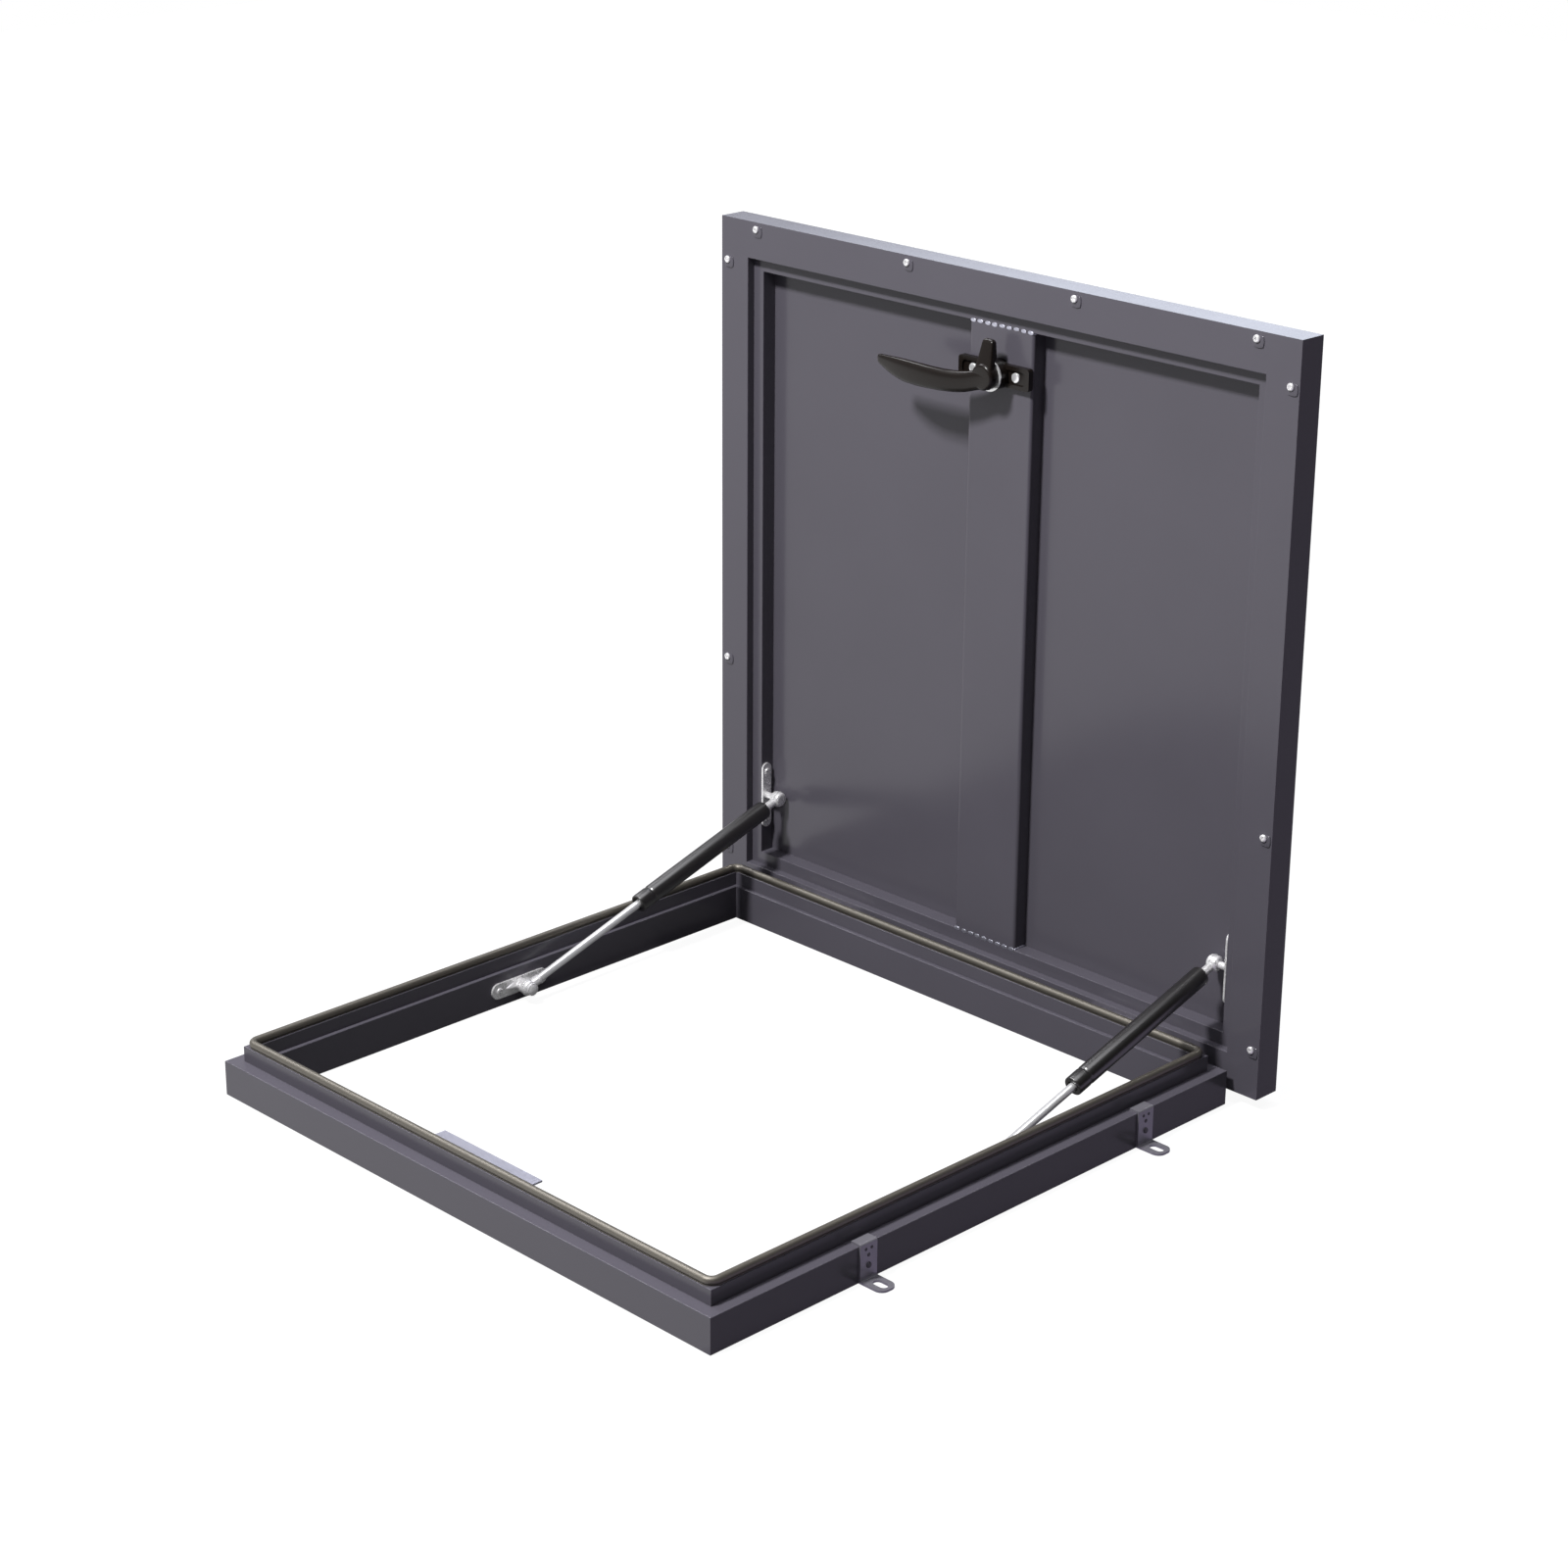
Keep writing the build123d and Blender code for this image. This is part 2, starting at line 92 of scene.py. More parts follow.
class Recipe:
    # A node tree that is filled by one method: type, settings first, then values or wires by socket
    def __init__(self, tree):
        self.tree = tree
        self.tree.nodes.clear()

    def node(self, kind, settings=None, inputs=None, output=0):
        made = self.tree.nodes.new(kind)
        for name, value in (settings or {}).items():
            if name == "stops":
                self.fillRamp(made.color_ramp, value)
            else:
                setattr(made, name, value)
        for name, value in (inputs or {}).items():
            if isinstance(value, Wire):
                self.tree.links.new(value.socket, made.inputs[name])
            else:
                made.inputs[name].default_value = value
        return Wire(self, made.outputs[output]) if made.outputs else None

    def fillRamp(self, ramp, stops):
        while len(ramp.elements) < len(stops):
            ramp.elements.new(0.5)
        for element, (place, colour) in zip(ramp.elements, stops):
            element.position = place
            element.color = colour

    def place(self):
        return self.node("ShaderNodeTexCoord", output="Object")

    def noise(self, scale, detail=2.0):
        return self.node(
            "ShaderNodeTexNoise", inputs={"Vector": self.place(), "Scale": scale, "Detail": detail}
        )

    def blend(self, share, first, second):
        return self.node(
            "ShaderNodeMix", {"data_type": "RGBA"}, {"Factor": share, 6: first, 7: second}, output=2
        )

    def bump(self, height, strength, distance):
        return self.node(
            "ShaderNodeBump", inputs={"Height": height, "Strength": strength, "Distance": distance}
        )


def newMaterial(name):
    material = bpy.data.materials.new(name)
    material.use_nodes = True
    return material, Recipe(material.node_tree)


def finishMaterial(recipe, kind, inputs):
    shader = recipe.node(kind, inputs=inputs)
    recipe.node("ShaderNodeOutputMaterial", inputs={"Surface": shader})


powderCoatLook = {
    "colour": (0.0895, 0.0835, 0.1025, 1),
    "ior": 1.36,
    "mottle": 0.06,
    "roughness": 0.2,
    "roughnessSpread": 0.06,
    "peelScale": 420.0,
    "peelHeight": 0.00004,
}


def powderCoat():
    # Satin violet-grey coat: faint cloudy tone, a fine orange peel, and sheen that drifts a little
    look = powderCoatLook
    material, recipe = newMaterial("powderCoat")
    cloud = recipe.noise(9.0, 3.0)
    colour = look["colour"]
    darker = tuple(channel * (1 - look["mottle"]) for channel in colour[:3]) + (1,)
    lighter = tuple(channel * (1 + look["mottle"]) for channel in colour[:3]) + (1,)
    tone = recipe.blend(cloud, darker, lighter)
    peel = recipe.noise(look["peelScale"], 2.0)
    roughness = look["roughness"] + (recipe.noise(23.0, 2.0) - 0.5) * look["roughnessSpread"]
    finishMaterial(recipe, "ShaderNodeBsdfPrincipled", {
        "Base Color": tone,
        "Roughness": roughness,
        "IOR": look["ior"],
        "Normal": recipe.bump(peel, 0.35, look["peelHeight"]),
    })
    return material


metalGrain = {
    "scale": 300.0,
    "roughnessShare": 0.5,
    "dent": 0.000003,
    "dentStrength": 0.3,
    "darkening": 0.88,
}


def metal(name, colour, roughness, metallic):
    # Bare metal with a fine grain that shifts its roughness and barely dents it
    material, recipe = newMaterial(name)
    grain = metalGrain
    streaks = recipe.noise(grain["scale"], 3.0)
    spread = recipe.noise(60.0, 2.0)
    darker = tuple(channel * grain["darkening"] for channel in colour[:3]) + (1,)
    finishMaterial(recipe, "ShaderNodeBsdfPrincipled", {
        "Base Color": recipe.blend(spread, darker, colour),
        "Metallic": metallic,
        "Roughness": roughness + (streaks - 0.5) * (roughness * grain["roughnessShare"]),
        "Normal": recipe.bump(streaks, grain["dentStrength"], grain["dent"]),
    })
    return material


paintPeel = {
    "scale": 500.0,
    "height": 0.00002,
    "strength": 0.3,
}


def paint(name, colour, roughness, ior):
    # Enamel or lacquer: a dark body colour with a faint peel
    material, recipe = newMaterial(name)
    cloud = recipe.noise(40.0, 3.0)
    darker = tuple(channel * 0.8 for channel in colour[:3]) + (1,)
    peel = recipe.noise(paintPeel["scale"], 2.0)
    finishMaterial(recipe, "ShaderNodeBsdfPrincipled", {
        "Base Color": recipe.blend(cloud, darker, colour),
        "Roughness": roughness + (cloud - 0.5) * 0.06,
        "IOR": ior,
        "Normal": recipe.bump(peel, paintPeel["strength"], paintPeel["height"]),
    })
    return material


def rubber():
    # Extruded seal: dull olive-brown with fine die lines and a little bloom
    material, recipe = newMaterial("sealRubber")
    bloom = recipe.noise(35.0, 4.0)
    lines = recipe.noise(900.0, 2.0)
    finishMaterial(recipe, "ShaderNodeBsdfPrincipled", {
        "Base Color": recipe.blend(bloom, (0.022, 0.020, 0.015, 1), (0.034, 0.031, 0.024, 1)),
        "Roughness": 0.52 + (bloom - 0.5) * 0.08,
        "IOR": 2.3,
        "Specular Tint": (1.0, 0.93, 0.82, 1),
        "Normal": recipe.bump(lines, 0.25, 0.00003),
    })
    return material


finishes = {
    "powder_coat": powderCoat(),
    "stainless": metal("stampedStainless", (0.95, 0.94, 0.95, 1), 0.28, 0.55),
    "bright_chrome": metal("brightChrome", (0.95, 0.95, 0.96, 1), 0.16, 0.6),
    "strut_black": paint("strutEnamel", (0.0080, 0.0070, 0.0064, 1), 0.3, 1.95),
    "gasket_rubber": rubber(),
    "bare_aluminium": metal("bareAluminium", (0.60, 0.60, 0.70, 1), 0.42, 0.85),
    "handle_bronze": paint("bronzeLacquer", (0.0105, 0.0076, 0.0062, 1), 0.26, 1.36),
}
# The anchor straps have a lighter, more metallic coat than the rails
strapFinish = metal("strapCoat", (0.30, 0.29, 0.33, 1), 0.38, 0.55)
for name, node in nodes.items():
    finish = strapFinish if name.startswith("anchor_bracket") else finishes[slotOfNode[name]]
    for materialSlot in node.material_slots:
        materialSlot.material = finish
print("finishes:", len(finishes))


# Pieces: grids of points in millimetres on their own axes, placed in the shared frame

def gridFaces(rows, columns, closed):
    # Quads between neighbouring points; a closed grid also joins its last column to its first
    row = np.arange(rows - 1)[:, None]
    column = np.arange(columns if closed else columns - 1)[None, :]
    following = (column + 1) % columns
    corners = [
        row * columns + column,
        row * columns + following,
        (row + 1) * columns + following,
        (row + 1) * columns + column,
    ]
    return np.stack(corners, axis=-1).reshape(-1, 4)


def placed(points, origin, across, along, out):
    axes = np.array([across, along, out], dtype=float)
    return np.asarray(origin, dtype=float) + points @ axes


def addPiece(name, grids, finish, body, sharpAngle=40.0, closed=True):
    # One smooth object made of any number of grids, in metres, that rides on a body
    points = []
    faces = []
    start = 0
    for grid in grids:
        rows, columns = grid.shape[:2]
        points.append(grid.reshape(-1, 3) / 1000)
        faces.append(gridFaces(rows, columns, closed) + start)
        start += rows * columns
    mesh = bpy.data.meshes.new(name)
    mesh.from_pydata(np.concatenate(points).tolist(), [], np.concatenate(faces).tolist())
    mesh.polygons.foreach_set("use_smooth", np.ones(len(mesh.polygons), dtype=bool))
    mesh.set_sharp_from_angle(angle=math.radians(sharpAngle))
    mesh.materials.append(finishes[finish])
    piece = bpy.data.objects.new(name, mesh)
    bpy.context.scene.collection.objects.link(piece)
    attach(piece, body)
    return piece


def spun(profile, count=48):
    # Each (radius, height) of the profile goes once round the out axis
    profile = np.asarray(profile, dtype=float)
    angle = np.linspace(0, 2 * np.pi, count, endpoint=False)
    radius = profile[:, 0][:, None]
    height = np.broadcast_to(profile[:, 1][:, None], (len(profile), count))
    return np.stack([radius * np.cos(angle), radius * np.sin(angle), height], axis=-1)


def arc(centre, radius, first, last, count=8):
    # Points (radius, height) on a circle's arc between two angles in degrees
    angle = np.radians(np.linspace(first, last, count))
    return list(zip(centre[0] + radius * np.cos(angle), centre[1] + radius * np.sin(angle)))


def curveThrough(places, values, samples):
    # Natural cubic spline: the second derivatives solve one small set of linear equations
    places = np.asarray(places, dtype=float)
    values = np.asarray(values, dtype=float)
    gap = np.diff(places)
    count = len(places)
    system = np.eye(count)
    known = np.zeros(count)
    for index in range(1, count - 1):
        system[index, index - 1:index + 2] = gap[index - 1], 2 * (gap[index - 1] + gap[index]), gap[index]
        slopes = np.diff(values)[index - 1:index + 1] / gap[index - 1:index + 1]
        known[index] = 6 * (slopes[1] - slopes[0])
    bend = np.linalg.solve(system, known)
    samples = np.asarray(samples, dtype=float)
    left = np.clip(np.searchsorted(places, samples) - 1, 0, count - 2)
    width = gap[left]
    before = samples - places[left]
    after = places[left + 1] - samples
    return (
        bend[left] * after ** 3 / (6 * width)
        + bend[left + 1] * before ** 3 / (6 * width)
        + (values[left] / width - bend[left] * width / 6) * after
        + (values[left + 1] / width - bend[left + 1] * width / 6) * before
    )


def softSection(count, power):
    # Unit superellipse: |x| and |y| to the given power add up to one
    angle = np.linspace(0, 2 * np.pi, count, endpoint=False)
    across = np.sign(np.cos(angle)) * np.abs(np.cos(angle)) ** (2 / power)
    out = np.sign(np.sin(angle)) * np.abs(np.sin(angle)) ** (2 / power)
    return across, out


def roundedOutline(side, corner, count=48):
    # A square with rounded corners, as equal steps of angle
    angle = np.linspace(0, 2 * np.pi, count, endpoint=False) + np.pi / count
    half = side / 2 - corner
    x = np.cos(angle)
    y = np.sin(angle)
    scale = half / np.maximum(np.abs(x), np.abs(y))
    flatX = np.clip(x * scale * 1.2, -half, half)
    flatY = np.clip(y * scale * 1.2, -half, half)
    return flatX + corner * x, flatY + corner * y


# Screws in the lid's flange, with heights above the curb's underside
lidScrews = {
    "face": 332.2,
    "across": (-306.0, -104.0, 102.0, 307.0),
    "rowHeights": (18.5, 713.5),
    "sideDistance": 345.5,
    "sideHeights": (59.5, 267.5, 678.5),
    "headRadius": 3.5,
    "headHeight": 2.0,
    "crossLength": 2.1,
    "crossWidth": 0.5,
    "crossDepth": 1.3,
    "tabSide": 11.5,
    "tabCorner": 3.2,
    "tabThickness": 0.9,
    "tabShift": (1.8, -2.2),
}


def panHead(radius, height, crossLength, crossWidth, crossDepth):
    # Dome over a short rim; two bars crossed at right angles are pressed into it, with soft edges
    ring = np.linspace(0, 1, 22)[:, None]
    angle = np.linspace(0, 2 * np.pi, 48, endpoint=False)[None, :]
    x = radius * ring * np.cos(angle)
    y = radius * ring * np.sin(angle)
    dome = height * np.sqrt(np.clip(1 - 0.8 * ring ** 4, 0, 1)) + 0 * angle
    lengthEnd = 0.25
    sideEdge = 0.2
    endX = np.clip((crossLength - np.abs(x)) / lengthEnd, 0, 1)
    endY = np.clip((crossLength - np.abs(y)) / lengthEnd, 0, 1)
    sideX = np.clip((crossWidth - np.abs(x)) / sideEdge + 0.5, 0, 1)
    sideY = np.clip((crossWidth - np.abs(y)) / sideEdge + 0.5, 0, 1)
    lengthwise = endX * sideY
    crosswise = endY * sideX
    top = np.stack([x, y, dome - crossDepth * np.maximum(lengthwise, crosswise)], axis=-1)
    rim = top[-1:].copy()
    rim[..., 2] = 0
    return np.concatenate([top, rim])


def makeLidScrews():
    look = lidScrews
    head = panHead(
        look["headRadius"], look["headHeight"], look["crossLength"], look["crossWidth"], look["crossDepth"]
    )
    spots = [(x, z) for z in look["rowHeights"] for x in look["across"]]
    spots += [(side * look["sideDistance"], z) for z in look["sideHeights"] for side in (-1, 1)]
    outlineX, outlineY = roundedOutline(look["tabSide"], look["tabCorner"])
    rings = []
    for scale, height in ((1.0, 0.0), (1.0, 0.6), (0.96, 0.9), (0.9, 1.0), (0.0, 1.0)):
        ringHeight = np.full_like(outlineX, height * look["tabThickness"])
        rings.append(np.stack([outlineX * scale, outlineY * scale, ringHeight], axis=-1))
    tab = np.array(rings)
    heads = []
    tabs = []
    shiftX, shiftZ = look["tabShift"]
    for index, (x, z) in enumerate(spots):
        turn = 0.7 * index
        across = (math.cos(turn), 0, math.sin(turn))
        along = (-math.sin(turn), 0, math.cos(turn))
        face = look["face"] - look["tabThickness"]
        heads.append(placed(head, (x, face, z), across, along, (0, -1, 0)))
        tabs.append(placed(tab, (x + shiftX, look["face"], z + shiftZ), (1, 0, 0), (0, 0, 1), (0, -1, 0)))
    addPiece("lid_screw_heads", heads, "stainless", "lid")
    addPiece("lid_screw_tabs", tabs, "powder_coat", "lid")


# Weld beads where the bar meets the lid's ledge
barWelds = {
    "face": 340.9,
    "liner": 357.0,
    "centre": 8.0,
    "halfWidth": 39.2,
    "ends": (61.0, 671.0),
    "count": 9,
    "pitch": 8.9,
    "bead": (3.4, 1.9, 0.34),
}


def bead(length, width, height):
    # A squat half egg: its rings shrink as the cosine of the rise, its height grows as the sine
    rise = np.linspace(0, np.pi / 2, 9)[:, None]
    angle = np.linspace(0, 2 * np.pi, 24, endpoint=False)[None, :]
    return np.stack([
        length * np.cos(rise) * np.cos(angle),
        width * np.cos(rise) * np.sin(angle),
        height * np.sin(rise) + 0 * angle,
    ], axis=-1)


def makeBarWelds():
    look = barWelds
    random = np.random.default_rng(4)
    beads = []
    for end in look["ends"]:
        for index in range(look["count"]):
            x = look["centre"] + (index - (look["count"] - 1) / 2) * look["pitch"]
            size = np.array(look["bead"]) * random.uniform(0.9, 1.1, 3)
            place = (x + random.uniform(-0.4, 0.4), look["face"], end + random.uniform(-0.3, 0.3))
            beads.append(placed(bead(*size), place, (1, 0, 0), (0, 0, 1), (0, -1, 0)))
        for side in (-1, 1):
            for depth in np.arange(look["face"] + 3, look["liner"] - 1, 3.6):
                inward = 1 if end < 300 else -1
                place = (look["centre"] + side * look["halfWidth"], depth, end + inward * 0.6)
                beads.append(placed(bead(2.4, 1.1, 1.0), place, (0, 1, 0), (0, 0, 1), (side, 0, 0)))
    addPiece("bar_welds", beads, "bare_aluminium", "lid")


# Handle casting: the distances are measured from its pivot and out from the bar's face
handle = {
    "pivot": (8.0, 340.9, 627.5),
    "hubBase": 16.2,
    "hubHeight": 11.0,
    "hubRadius": 12.5,
    "hubRounding": 3.0,
    "leverLength": 127.0,
    "leverTipRounding": 3.0,
    "tongueReach": 34.5,
    "tongueWidths": (22.0, 12.0),
    "tongueTipDepth": 5.8,
    "tongueDrop": 3.0,
    "tongueStep": (14.5, 18.0),
    "tongueTipRounding": 3.5,
    "plateOffset": -3.5,
    "screwHalfSpacing": 26.3,
    "screwDepth": 4.0,
}
# Distance along the lever, lower edge, upper edge, middle's height out, depth
leverStations = np.array([
    (-6.0, -11.5, 7.5, 21.7, 11.0),
    (0.0, -12.0, 7.0, 21.9, 11.0),
    (16.5, -16.6, 3.2, 24.2, 11.0),
    (40.6, -19.6, 1.0, 29.4, 11.0),
    (69.9, -20.0, 1.8, 32.6, 9.9),
    (100.3, -17.0, 2.0, 32.3, 7.9),
    (127.0, -7.0, 0.6, 30.2, 4.4),
])


def leverSurface():
    # Superellipse sections along the stations; the last few shrink to close the tip
    look = handle
    length = look["leverLength"]
    rounding = look["leverTipRounding"]
    reach = np.concatenate([
        np.linspace(-5.9, length - rounding, 70),
        length - rounding + rounding * np.sin(np.linspace(0.1, 1, 10) * np.pi / 2),
    ])
    lower, upper, middle, depth = (
        curveThrough(leverStations[:, 0], leverStations[:, column], reach) for column in range(1, 5)
    )
    beyond = np.clip((reach - length + rounding) / rounding, 0, 1)
    shrink = np.sqrt(np.clip(1 - beyond ** 2, 0, 1))
    across, out = softSection(40, 2.9)
    half = (upper - lower) / 2 * (0.35 + 0.65 * shrink) * (shrink > 0)
    points = np.stack([
        -reach[:, None] + 0 * across,
        ((upper + lower) / 2)[:, None] + half[:, None] * across,
        middle[:, None] + (depth / 2 * shrink)[:, None] * out,
    ], axis=-1)
    return points


def tongueSurface():
    # A wedge that narrows towards its tip and steps down past the boss
    look = handle
    reach = look["tongueReach"]
    rounding = look["tongueTipRounding"]
    top = look["hubBase"] + look["hubHeight"]
    rows = np.concatenate([
        np.linspace(0, reach - rounding, 36),
        reach - rounding + rounding * np.sin(np.linspace(0.1, 1, 10) * np.pi / 2),
    ])
    share = rows / reach
    root, tip = look["tongueWidths"]
    width = root + (tip - root) * share
    first, last = look["tongueStep"]
    step = np.clip((rows - first) / (last - first), 0, 1)
    back = look["hubBase"] - look["tongueDrop"] * step * step * (3 - 2 * step)
    tipFront = look["hubBase"] - look["tongueDrop"] + look["tongueTipDepth"]
    front = top + (tipFront - top) * share
    beyond = np.clip((rows - reach + rounding) / rounding, 0, 1)
    shrink = np.sqrt(np.clip(1 - beyond ** 2, 0, 1))
    widthShrink = (0.6 + 0.4 * shrink) * (shrink > 0)
    depthShrink = (0.2 + 0.8 * shrink) * (shrink > 0)
    across, out = softSection(40, 6.0)
    return np.stack([
        (width / 2 * widthShrink)[:, None] * across,
        rows[:, None] + 0 * across,
        ((front + back) / 2)[:, None] + ((front - back) / 2 * depthShrink)[:, None] * out,
    ], axis=-1)


def makeHandle():
    look = handle
    top = look["hubBase"] + look["hubHeight"]
    radius = look["hubRadius"]
    rounding = look["hubRounding"]
    profile = [(radius, look["hubBase"])]
    profile += arc((radius - rounding, top - rounding), rounding, 0, 90)
    profile += [(0, top)]
    axes = ((1, 0, 0), (0, 0, 1), (0, -1, 0))
    surfaces = (spun(profile), leverSurface(), tongueSurface())
    grids = [placed(surface, look["pivot"], *axes) for surface in surfaces]
    casting = addPiece("handle_casting", grids, "handle_bronze", "handle", 50.0)
    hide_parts("handle_lever")
    head = spun([(4.7, 0), (4.7, 0.7)] + arc((4.0, 0.7), 0.7, 0, 80, 5) + [(2.0, 1.55), (0, 1.6)])
    heads = []
    for side in (-1, 1):
        shift = look["plateOffset"] + side * look["screwHalfSpacing"]
        place = Vector(look["pivot"]) + Vector((shift, -look["screwDepth"], 0))
        heads.append(placed(head, place, *axes))
    addPiece("handle_base_screws", heads, "bright_chrome", "lid")


# Gas struts: the pins are in millimetres, and the struts lie in planes of constant x
struts = {
    "x": 287.0,
    "basePin": (6.0, 17.0),
    "lidPin": (347.0, 123.0),
    "cylinderRadius": 9.4,
    "cylinderSpan": (153.1, 338.1),
    "crimpOffset": 17.0,
    "crimpDepth": 0.7,
    "eyeRadius": 7.5,
    "eyeHalfWidth": 6.0,
    "eyeRounding": 3.2,
    "rodNeck": (4.8, 16.0),
    "cylinderNeck": (4.2, 19.0),
    "clipRadius": 0.55,
    "wallBase": 300.0,
    "wallLid": 305.0,
    "plateThickness": 2.0,
    "screwOffset": 26.0,
    "bossReach": (18.0, 4.0),
    "bossHalfWidths": (0.8, 6.0),
    "bossHeight": 3.2,
}


def cylinderProfile():
    look = struts
    mouth, end = look["cylinderSpan"]
    radius = look["cylinderRadius"]
    crimp = mouth + look["crimpOffset"]
    profile = [(4.1, mouth + 2.0), (4.9, mouth + 2.0), (5.4, mouth + 0.2), (radius - 1.2, mouth)]
    profile += arc((radius - 1.2, mouth + 1.2), 1.2, -80, 0, 5)
    for step in np.linspace(-2.2, 2.2, 15):
        dip = look["crimpDepth"] * (0.5 + 0.5 * math.cos(math.pi * step / 2.2))
        profile.append((radius - dip, crimp + step))
    profile += arc((radius - 4.0, end - 4.0), 4.0, 0, 85, 10)
    return profile + [(4.0, end)]


def eyeSurface():
    # A short barrel about the pin with well rounded rims
    look = struts
    radius = look["eyeRadius"]
    half = look["eyeHalfWidth"]
    rounding = look["eyeRounding"]
    profile = [(0, half)]
    profile += arc((radius - rounding, half - rounding), rounding, 90, 0, 9)
    profile += arc((radius - rounding, rounding - half), rounding, 0, -90, 9)
    return spun(profile + [(0, -half)])


def clipSurface():
    # A bent wire round most of the socket
    look = struts
    angle = np.radians(np.linspace(40, 320, 60))[:, None]
    turn = np.linspace(0, 2 * np.pi, 10, endpoint=False)[None, :]
    radius = look["eyeRadius"] + 0.1 + look["clipRadius"] * np.cos(turn)
    height = look["clipRadius"] * np.sin(turn) + 1.2 + 0 * angle
    return np.stack([radius * np.cos(angle), radius * np.sin(angle), height], axis=-1)


def bossSurface():
    # A ridge that widens and rises towards the pin: its height is the square root of the way there,
    # times one minus the square of the share from its middle to its edge
    look = struts
    way = np.linspace(0, 1, 16)[:, None]
    share = np.linspace(-1, 1, 17)[None, :]
    far, near = look["bossReach"]
    narrow, wide = look["bossHalfWidths"]
    return np.stack([
        far + (near - far) * way + 0 * share,
        (narrow + (wide - narrow) * way) * share,
        look["bossHeight"] * np.sqrt(way) * (1 - share ** 2),
    ], axis=-1)


def makeStruts():
    look = struts
    base = Vector((0, *look["basePin"]))
    lid = Vector((0, *look["lidPin"]))
    along = (lid - base).normalized()
    neckRadius, neckLength = look["rodNeck"]
    rodNeck = spun([(neckRadius, 4.0), (neckRadius, neckLength - 1.2)] + arc(
        (neckRadius - 1.2, neckLength - 1.2), 1.2, 0, 80, 5) + [(3.9, neckLength)])
    endRadius, endLength = look["cylinderNeck"]
    endNeck = spun([(endRadius, 4.0), (endRadius, endLength - 2.5), (endRadius + 0.8, endLength)])
    for side, name in ((-1, "left"), (1, "right")):
        inward = Vector((-side, 0, 0))
        third = inward.cross(along)
        baseAt = Vector((side * look["x"], *look["basePin"]))
        lidAt = Vector((side * look["x"], *look["lidPin"]))
        aboutPin = (along, third, inward)
        upStrut = (third, inward, along)
        downStrut = (third, inward, -along)
        body = addPiece(f"strut_tube_{name}", [placed(spun(cylinderProfile(), 64), baseAt, *upStrut)],
                        "strut_black", f"cylinder_{name}", 50.0)
        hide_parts(f"strut_cylinder_{name}")
        rodEnd = addPiece(f"rod_socket_{name}", [
            placed(eyeSurface(), baseAt, *aboutPin), placed(rodNeck, baseAt, *upStrut),
        ], "stainless", f"rod_{name}", 50.0)
        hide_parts(f"strut_rod_end_{name}")
        lidEnd = addPiece(f"cylinder_socket_{name}", [
            placed(eyeSurface(), lidAt, *aboutPin), placed(endNeck, lidAt, *downStrut),
        ], "stainless", f"cylinder_{name}", 50.0)
        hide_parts(f"strut_cylinder_end_{name}")
        addPiece(f"rod_clip_{name}", [placed(clipSurface(), baseAt, *aboutPin)],
                 "bright_chrome", f"rod_{name}")
        addPiece(f"cylinder_clip_{name}", [placed(clipSurface(), lidAt, *aboutPin)],
                 "bright_chrome", f"cylinder_{name}")
        dome = spun([(6.3, 0)] + arc((0, 0), 6.3, 15, 88, 10) + [(0, 6.3)])
        domeAt = baseAt + inward * 6.3
        addPiece(f"stud_dome_{name}", [placed(dome * (1, 1, 0.75), domeAt, *aboutPin)],
                 "bright_chrome", "frame")
        head = panHead(3.4, 1.6, 2.0, 0.45, 1.1)
        baseFace = side * (look["wallBase"] - look["plateThickness"])
        lidFace = side * (look["wallLid"] - look["plateThickness"])
        baseY, baseZ = look["basePin"]
        lidY, lidZ = look["lidPin"]
        heads = []
        for end in (-1, 1):
            at = (baseFace, baseY + end * look["screwOffset"], baseZ)
            heads.append(placed(head, at, (0, 1, 0), (0, 0, 1), inward))
        addPiece(f"base_bracket_screws_{name}", heads, "stainless", "frame")
        foot = (baseFace, baseY, baseZ)
        bosses = [placed(bossSurface(), foot, (0, end, 0), (0, 0, 1), inward) for end in (-1, 1)]
        addPiece(f"base_bracket_bosses_{name}", bosses, "stainless", "frame", closed=False)
        heads = []
        for end in (-1, 1):
            at = (lidFace, lidY, lidZ + end * look["screwOffset"])
            heads.append(placed(head, at, (0, 1, 0), (0, 0, 1), inward))
        addPiece(f"lid_bracket_screws_{name}", heads, "stainless", "lid")


# Bulb gasket on the curb's lip
seal = {
    "centreHalf": 308.1,
    "cornerRadius": 8.2,
    "base": 49.0,
    "bulbRadius": 3.75,
    "footHalf": 3.0,
    "footHeight": 0.9,
}


def makeSeal():
    # The section is a round bulb on a narrower foot; its path is a square with rounded corners
    look = seal
    bulb = look["bulbRadius"]
    angle = np.radians(np.linspace(-55, 235, 30))
    across = np.concatenate([[-look["footHalf"], look["footHalf"], look["footHalf"]],
                             bulb * np.cos(angle), [-look["footHalf"]]])
    height = np.concatenate([[0, 0, look["footHeight"]],
                             bulb + bulb * np.sin(angle), [look["footHeight"]]])
    straight = look["centreHalf"] - look["cornerRadius"]
    rings = []
    for quarter in range(4):
        start = quarter * np.pi / 2
        corner = (np.array([math.cos(start), math.sin(start)])
                  + np.array([-math.sin(start), math.cos(start)])) * straight
        for turn in np.linspace(0, np.pi / 2, 13):
            way = np.array([math.cos(start + turn), math.sin(start + turn)])
            middle = corner + way * look["cornerRadius"]
            ring = middle + across[:, None] * way
            rings.append(np.column_stack([ring, look["base"] + height]))
    rings.append(rings[0])
    piece = addPiece("seal", [np.array(rings)], "gasket_rubber", "frame", 60.0)
    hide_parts("gasket")


